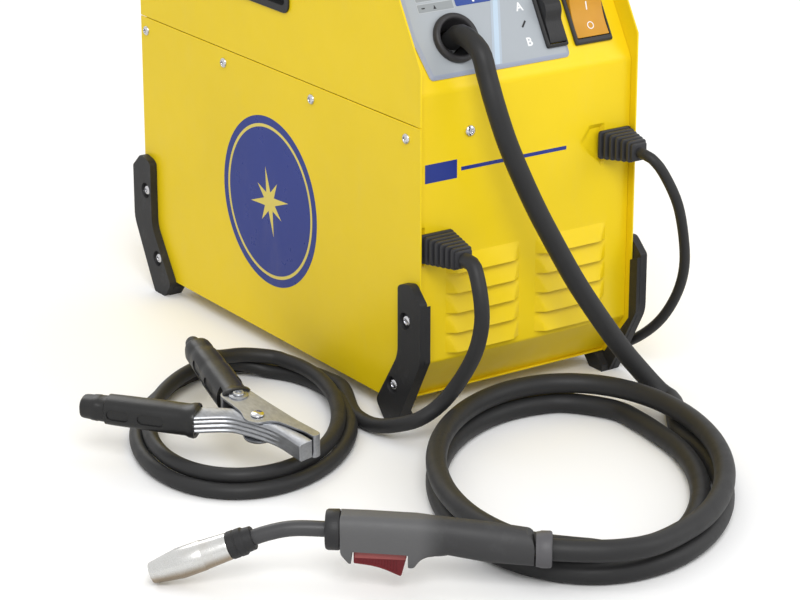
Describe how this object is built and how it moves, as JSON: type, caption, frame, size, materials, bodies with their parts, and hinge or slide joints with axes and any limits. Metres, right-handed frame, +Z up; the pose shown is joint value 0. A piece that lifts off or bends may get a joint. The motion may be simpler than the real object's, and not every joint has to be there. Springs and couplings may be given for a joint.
{
  "type": "mig welding machine",
  "caption": "Portable MIG welding machine with wire reel behind a hinged side door, wire feeder, torch, earth clamp, leads and corner bumpers that serve as feet.",
  "frame": {"origin": "centre of the base plate's underside", "axes": "+X to the right when facing the front, -Y the front, +Z up"},
  "size_m": [0.5563, 0.8501, 0.4392],
  "materials": {
    "yellow_paint": "gloss powder coat",
    "black_plastic": "moulded",
    "black_rubber": "matte",
    "grey_plate": "satin",
    "dark_grey_plastic": "fine texture",
    "orange_lens": "glossy",
    "red_plastic": "glossy",
    "zinc_steel": "zinc plated",
    "chrome": "polished",
    "aluminium": "machined",
    "copper": "copper coated",
    "brass": "turned",
    "circuit_board": "solder mask",
    "laminated_iron": "varnished",
    "pale_plastic": "moulded"
  },
  "bodies": {
    "machine": {"base_plate": "yellow_paint", "front_panel": "yellow_paint", "rear_panel": "yellow_paint", "top_cover": "yellow_paint", "right_side_panel": "yellow_paint", "left_lower_panel": "yellow_paint", "centre_divider": "zinc_steel", "reel_floor": "yellow_paint", "control_plate": "grey_plate", "cable_outlet_ring": "dark_grey_plastic", "power_switch_bezel": "black_plastic", "mode_switch_bezel": "black_plastic", "potentiometer": "zinc_steel", "cable_gland_left": "black_rubber", "cable_gland_right": "black_rubber", "bumper_front_left": "black_rubber", "bumper_front_right": "black_rubber", "bumper_rear_left": "black_rubber", "bumper_rear_right": "black_rubber", "carry_handle": "black_plastic", "feeder_plate": "aluminium", "feed_motor": "dark_grey_plastic", "reel_spindle": "black_plastic", "transformer_core": "laminated_iron", "transformer_coil": "copper", "rectifier_heatsink": "aluminium", "control_board": "circuit_board", "fan_housing": "black_plastic", "gas_valve": "brass", "torch_cable": "black_rubber", "earth_cable": "black_rubber", "mains_cable": "black_rubber", "mains_plug": "black_plastic", "torch_handle": "dark_grey_plastic", "torch_front_collar": "black_plastic", "torch_rear_collar": "dark_grey_plastic", "swan_neck": "black_plastic", "nozzle_insulator": "black_plastic", "contact_tip": "copper", "clamp_upper_jaw": "zinc_steel", "clamp_upper_grip": "black_rubber", "clamp_rivet": "chrome"},
    "power_rocker": {"power_rocker": "orange_lens"},
    "mode_rocker": {"mode_rocker": "black_plastic"},
    "speed_knob": {"speed_knob": "black_plastic"},
    "door": {"reel_door": "yellow_paint", "latch_frame": "black_plastic"},
    "latch": {"latch_slider": "dark_grey_plastic"},
    "reel": {"wire_reel": "dark_grey_plastic", "wound_wire": "copper"},
    "drive_roller": {"drive_roller": "zinc_steel"},
    "pressure_arm": {"pressure_arm": "pale_plastic", "tension_spring": "zinc_steel"},
    "pressure_roller": {"pressure_roller": "zinc_steel"},
    "tension_knob": {"tension_knob": "black_plastic"},
    "fan": {"fan_rotor": "dark_grey_plastic"},
    "trigger": {"trigger": "red_plastic"},
    "nozzle": {"gas_nozzle": "zinc_steel"},
    "clamp_lower": {"clamp_lower_jaw": "zinc_steel", "clamp_lower_grip": "black_rubber"}
  },
  "joints": [
    {"name": "power_rocker_tilt", "type": "hinge", "parent": "machine", "child": "power_rocker", "pos_m": [0.0715, -0.18637, 0.29109], "axis": [-1, 0, 0], "range_deg": [0, 16]},
    {"name": "mode_rocker_tilt", "type": "hinge", "parent": "machine", "child": "mode_rocker", "pos_m": [0.0346, -0.18776, 0.29307], "axis": [-1, 0, 0], "range_deg": [0, 16]},
    {"name": "speed_knob_turn", "type": "hinge", "parent": "machine", "child": "speed_knob", "pos_m": [-0.012, -0.15926, 0.34244], "axis": [0, -0.8616, 0.5075], "range_deg": [-140, 140]},
    {"name": "reel_door_open", "type": "hinge", "parent": "machine", "child": "door", "pos_m": [-0.1052, 0, 0.234], "axis": [0, -1, 0], "range_deg": [0, 100]},
    {"name": "latch_slide", "type": "slide", "parent": "door", "child": "latch", "axis": [0, 0, 1], "range_m": [0, 0.008]},
    {"name": "wire_reel_spin", "type": "hinge", "parent": "machine", "child": "reel", "pos_m": [-0.0635, 0.074, 0.262], "axis": [1, 0, 0], "continuous": true},
    {"name": "drive_roller_spin", "type": "hinge", "parent": "machine", "child": "drive_roller", "pos_m": [-0.0562, -0.11279, 0.22825], "axis": [1, 0, 0], "continuous": true},
    {"name": "pressure_arm_lift", "type": "hinge", "parent": "machine", "child": "pressure_arm", "pos_m": [-0.0562, -0.06852, 0.23641], "axis": [-1, 0, 0], "range_deg": [0, 40]},
    {"name": "pressure_roller_spin", "type": "hinge", "parent": "pressure_arm", "child": "pressure_roller", "pos_m": [-0.0562, -0.09903, 0.2516], "axis": [1, 0, 0], "continuous": true},
    {"name": "tension_knob_turn", "type": "hinge", "parent": "pressure_arm", "child": "tension_knob", "pos_m": [-0.0562, -0.10702, 0.28927], "axis": [0, 0.5075, 0.8616], "range_deg": [-360, 360]},
    {"name": "fan_spin", "type": "hinge", "parent": "machine", "child": "fan", "pos_m": [0.038, 0.193, 0.12], "axis": [0, 1, 0], "continuous": true},
    {"name": "trigger_pull", "type": "hinge", "parent": "machine", "child": "trigger", "pos_m": [-0.30136, -0.42595, 0.0188], "axis": [-0.6024, -0.7982, 0], "range_deg": [0, 7]},
    {"name": "nozzle_pull", "type": "slide", "parent": "machine", "child": "nozzle", "axis": [-0.7406, 0.5589, -0.373], "range_m": [0, 0.045]},
    {"name": "clamp_open", "type": "hinge", "parent": "machine", "child": "clamp_lower", "pos_m": [-0.25698, -0.22095, 0.0368], "axis": [0.0782, 0.1151, -0.9903], "range_deg": [0, 16]}
  ],
  "couplings": [
    {"joint": "drive_roller_spin", "follows": "wire_reel_spin", "ratio": -5.73},
    {"joint": "pressure_roller_spin", "follows": "wire_reel_spin", "ratio": 7.82}
  ]
}
